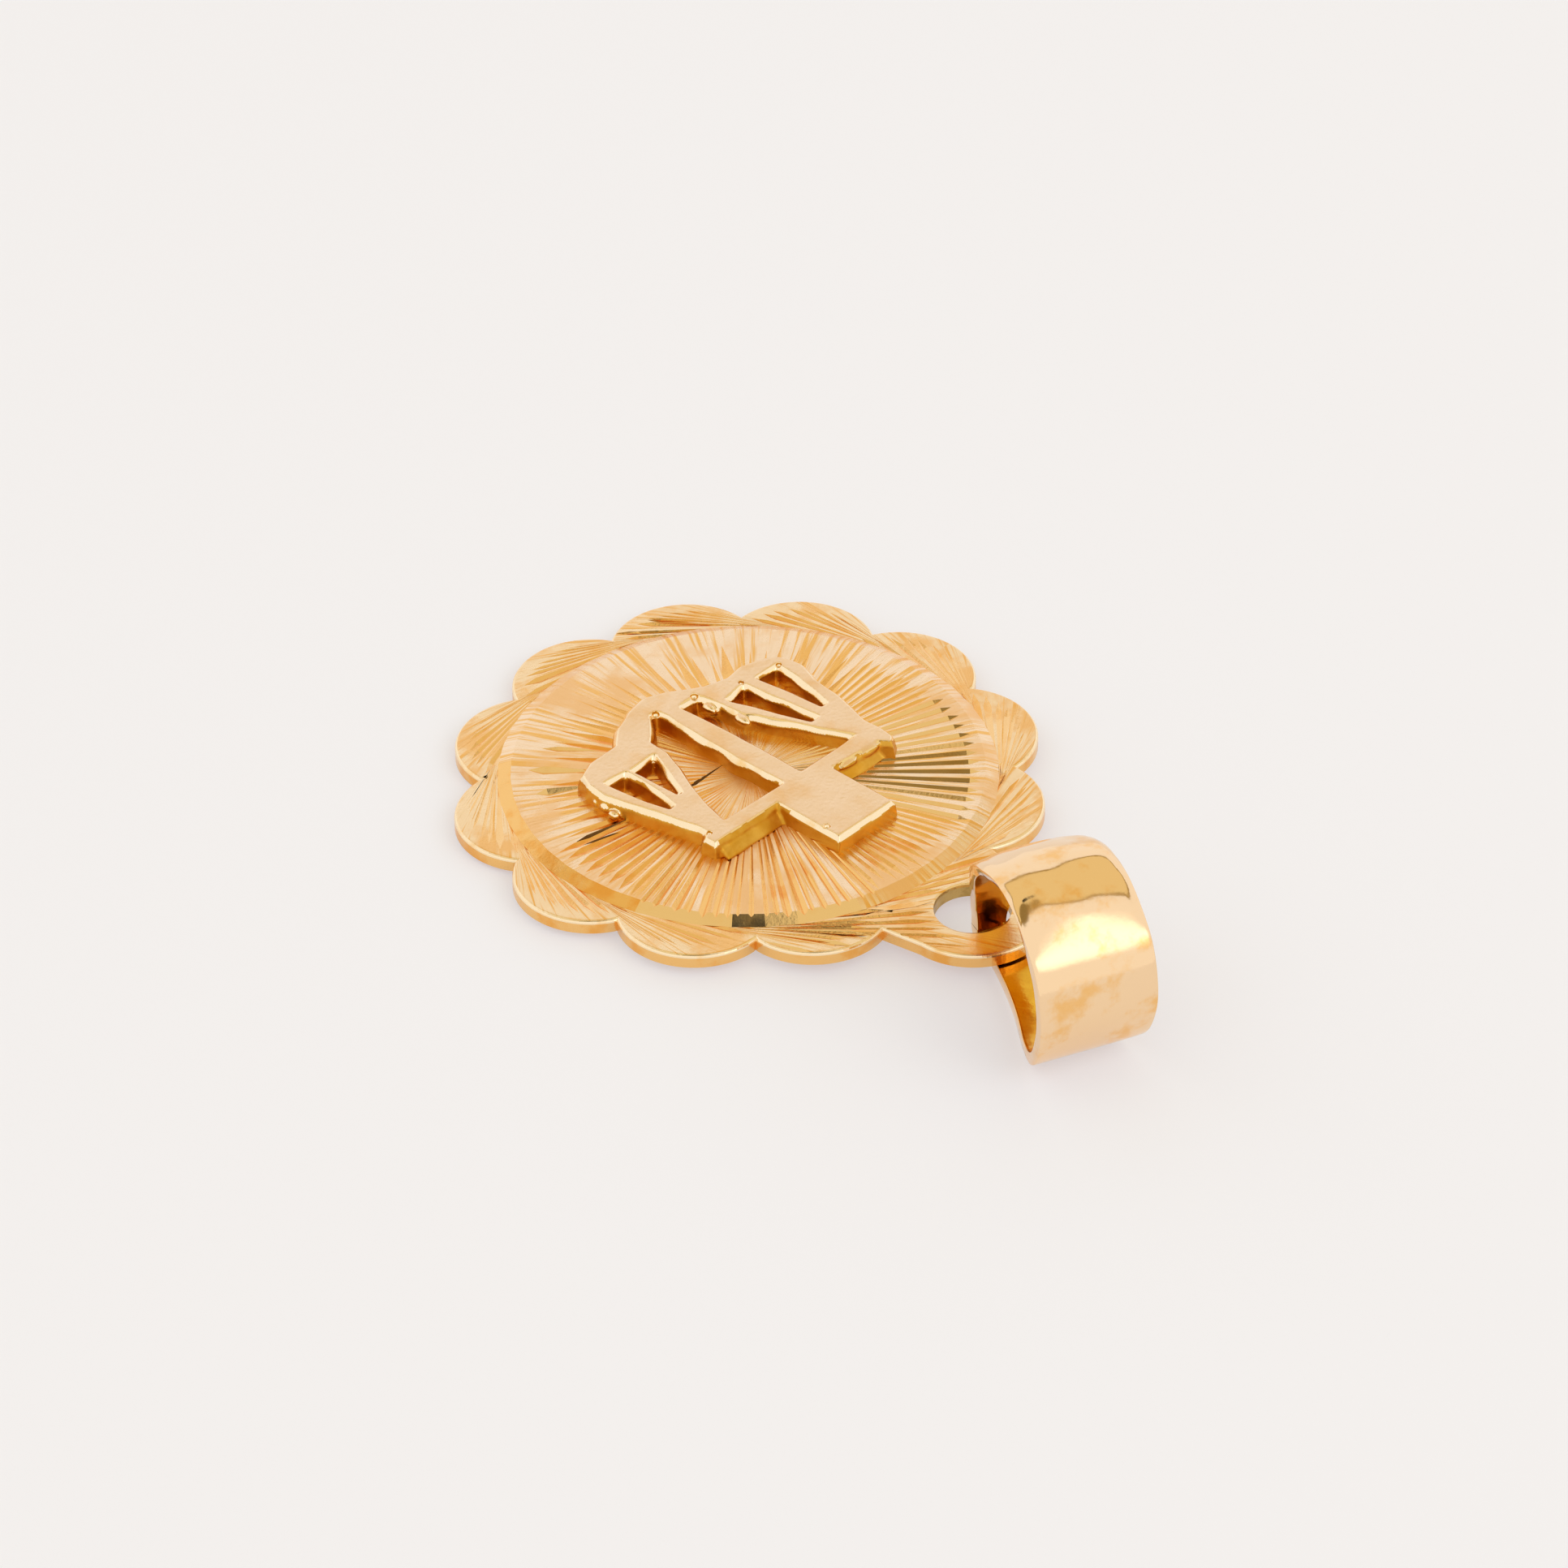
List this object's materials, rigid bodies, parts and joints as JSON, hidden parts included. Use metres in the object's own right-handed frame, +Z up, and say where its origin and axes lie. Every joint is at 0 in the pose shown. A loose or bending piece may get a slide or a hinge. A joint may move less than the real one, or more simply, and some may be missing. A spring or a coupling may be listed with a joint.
{
  "type": "zodiac charm",
  "caption": "Gold zodiac charm: round medallion with a scalloped, ribbed rim and raised scales, with a wide loop bail through its lug.",
  "frame": {"origin": "on the surface the charm lies on, under the middle of its box", "axes": "+Z up, out of the medallion's face; +Y from the medallion through its lug to the bail"},
  "size_m": [0.018, 0.0262, 0.0058],
  "materials": {
    "gold": "polished cast gold, satin in the ribs"
  },
  "bodies": {
    "root": {"medallion": "gold", "bail": "gold"}
  },
  "joints": []
}
